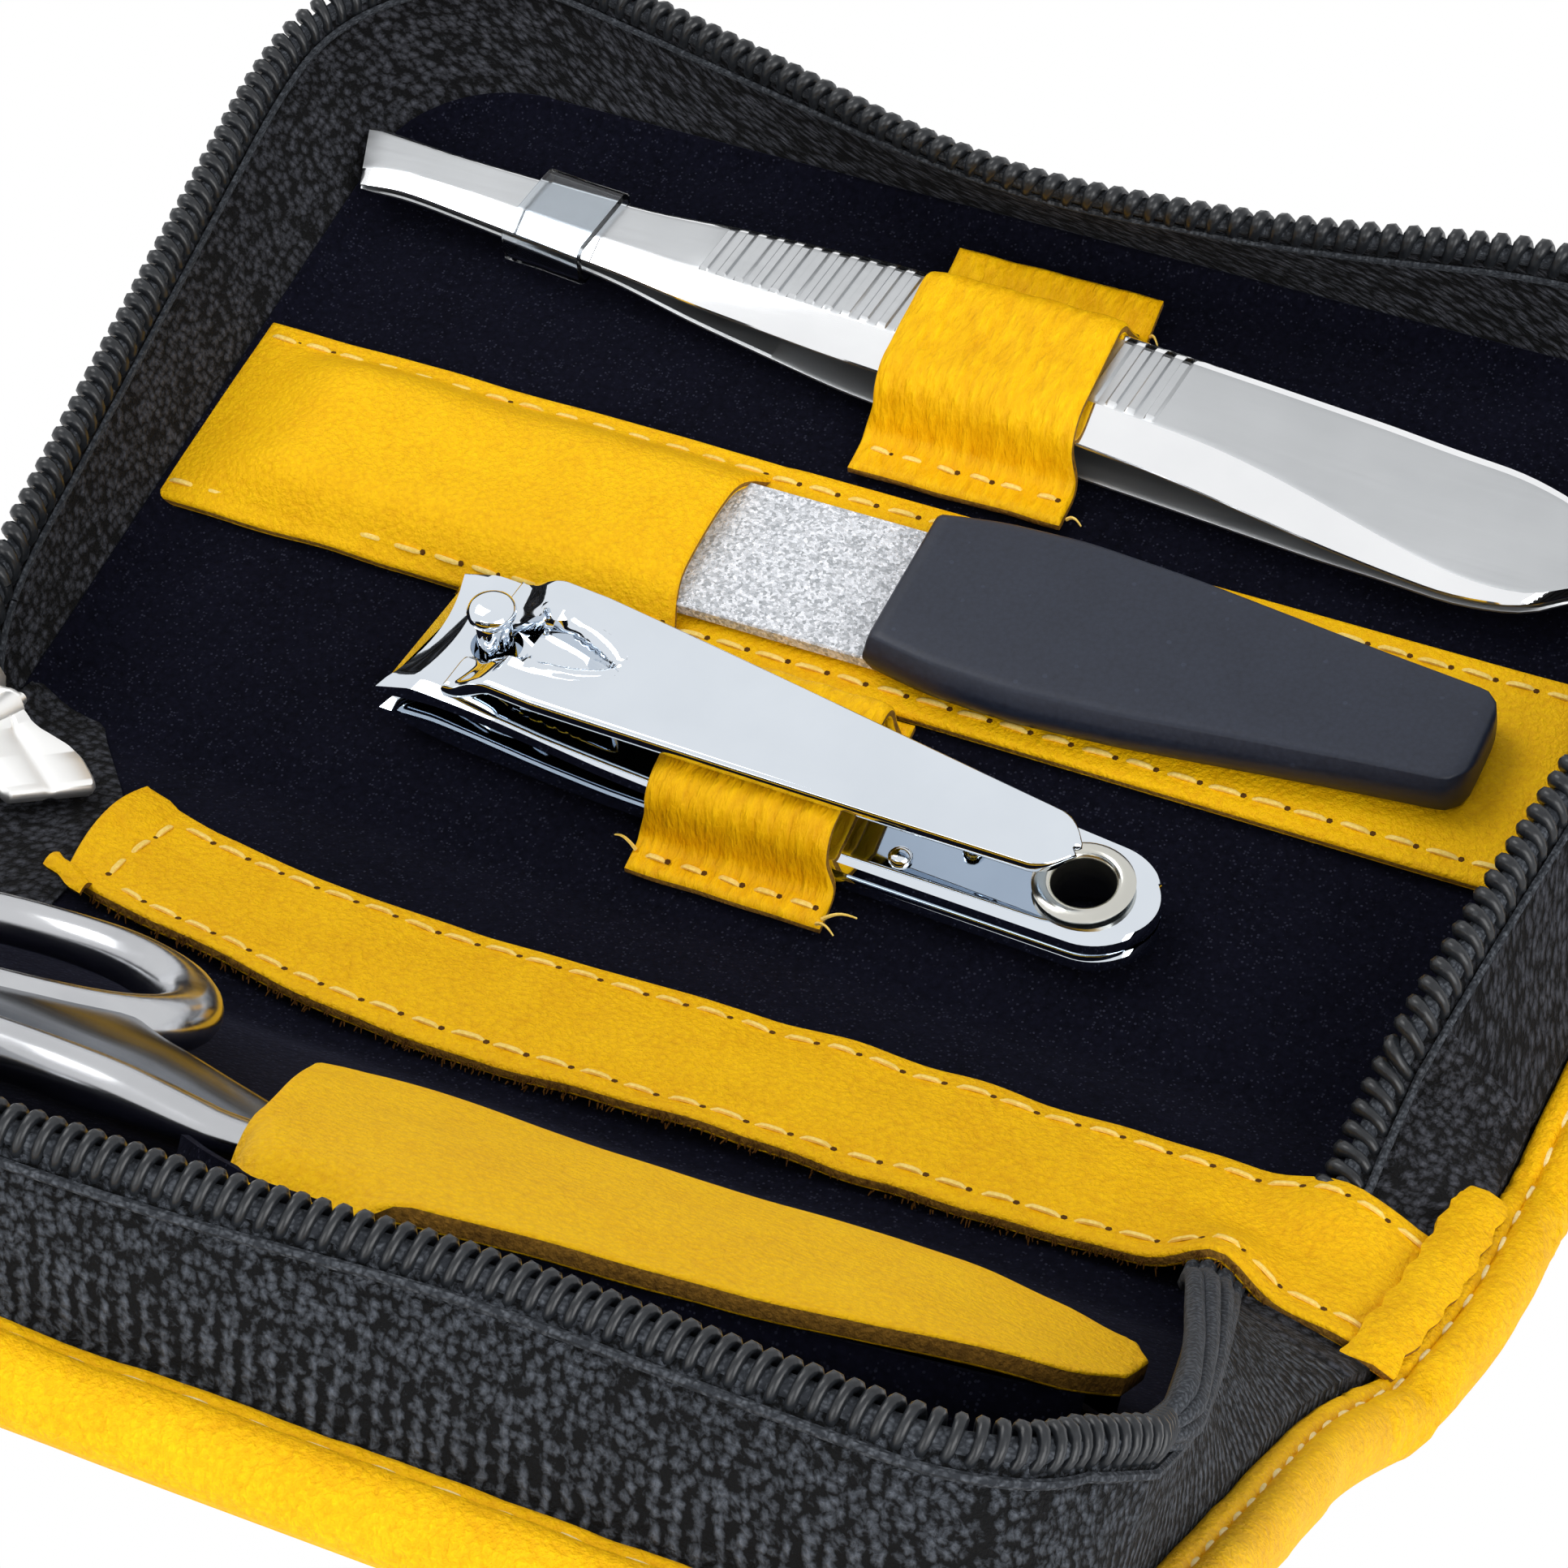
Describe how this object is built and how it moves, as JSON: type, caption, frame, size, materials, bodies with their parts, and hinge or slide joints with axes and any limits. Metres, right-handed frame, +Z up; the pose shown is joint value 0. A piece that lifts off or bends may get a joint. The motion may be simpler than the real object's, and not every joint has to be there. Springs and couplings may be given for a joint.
{
  "type": "manicure set case",
  "caption": "Open zip-around leather case with tools in straps: tweezers, nail file, nail clipper, and scissors in a sheath.",
  "frame": {"origin": "under the middle of the open case's bounding box, on the table", "axes": "+X along the fold lines, +Y from the raised front half to the flat rear half, +Z up"},
  "size_m": [0.1202, 0.1502, 0.0658],
  "materials": {
    "leather": "yellow grained leather with stitched edges",
    "board": "grey card stiffener",
    "velvet": "black velvet",
    "tape": "black woven zip tape",
    "nylon": "black nylon coil",
    "chrome": "polished",
    "satin": "satin",
    "grit": "grit coated",
    "plastic": "fine grained",
    "clear": "clear film",
    "silver": "matt silver plate"
  },
  "bodies": {
    "rear": {"rear_cover": "leather", "rear_board": "board", "rear_lining": "velvet", "rear_zip_tape": "tape", "rear_zip_coil": "nylon", "file_band": "leather", "tweezer_loop": "leather", "clipper_loop": "leather"},
    "file": {"file_blade": "grit", "file_handle": "plastic"},
    "tweezers": {"tweezer_upper_leg": "satin", "tweezer_lower_leg": "satin"},
    "sleeve": {"tweezer_sleeve": "clear"},
    "clipper": {"clipper_lower_jaw": "chrome", "clipper_eyelet": "chrome"},
    "jaw": {"clipper_upper_jaw": "chrome"},
    "lever": {"clipper_lever": "chrome", "clipper_post": "chrome"},
    "spine": {"spine_cover": "leather", "spine_board": "board", "spine_lining": "velvet", "spine_strip": "leather", "left_tail_tape": "tape", "left_tail_coil": "nylon", "right_tail_tape": "tape", "right_tail_coil": "nylon"},
    "slider": {"zip_slider": "silver"},
    "pull": {"zip_pull": "silver"},
    "front": {"front_cover": "leather", "front_board": "board", "front_lining": "velvet", "front_zip_tape": "tape", "front_zip_coil": "nylon", "sheath_top": "leather", "sheath_gusset": "velvet"},
    "scissors": {"scissor_lower_half": "chrome", "scissor_screw": "chrome"},
    "scissor": {"scissor_upper_half": "chrome"}
  },
  "joints": [
    {"name": "spine_fold", "type": "hinge", "parent": "rear", "child": "spine", "pos_m": [0.00157, 0.00169, 0.002], "axis": [-1, 0, 0], "range_deg": [-21.5, 68.5]},
    {"name": "front_fold", "type": "hinge", "parent": "spine", "child": "front", "pos_m": [0.00157, -0.02158, 0.01116], "axis": [-1, 0, 0], "range_deg": [-21.5, 68.5]},
    {"name": "slider_travel", "type": "slide", "parent": "spine", "child": "slider", "axis": [0, -0.9304, 0.3665], "range_m": [0, 0.0038]},
    {"name": "pull_swing", "type": "hinge", "parent": "slider", "child": "pull", "pos_m": [-0.04789, -0.00231, 0.00824], "axis": [0, -0.9304, 0.3665], "range_deg": [0, 100]},
    {"name": "file_slide", "type": "slide", "parent": "rear", "child": "file", "axis": [1, 0, 0], "range_m": [0, 0.006]},
    {"name": "tweezers_slide", "type": "slide", "parent": "rear", "child": "tweezers", "axis": [0.9965, -0.0837, 0], "range_m": [0, 0.004]},
    {"name": "sleeve_slide", "type": "slide", "parent": "tweezers", "child": "sleeve", "axis": [-0.9965, 0.0837, 0], "range_m": [0, 0.006]},
    {"name": "clipper_slide", "type": "slide", "parent": "rear", "child": "clipper", "axis": [-0.9965, 0.0837, 0], "range_m": [0, 0.01]},
    {"name": "jaw_squeeze", "type": "hinge", "parent": "clipper", "child": "jaw", "pos_m": [0.023, 0.01098, 0.0065], "axis": [-0.0837, -0.9965, 0], "range_deg": [0, 0.9], "stiffness_Nm_per_rad": 1},
    {"name": "lever_swivel", "type": "hinge", "parent": "clipper", "child": "lever", "pos_m": [-0.01975, 0.01457, 0.008], "axis": [0, 0, 1], "range_deg": [-3, 32]},
    {"name": "scissors_slide", "type": "slide", "parent": "front", "child": "scissors", "axis": [-1, 0, 0], "range_m": [0, 0.008]},
    {"name": "scissors_pivot", "type": "hinge", "parent": "scissors", "child": "scissor", "pos_m": [0.00457, -0.04257, 0.03484], "axis": [0, 0.682, 0.7314], "range_deg": [-1.5, 0]}
  ]
}
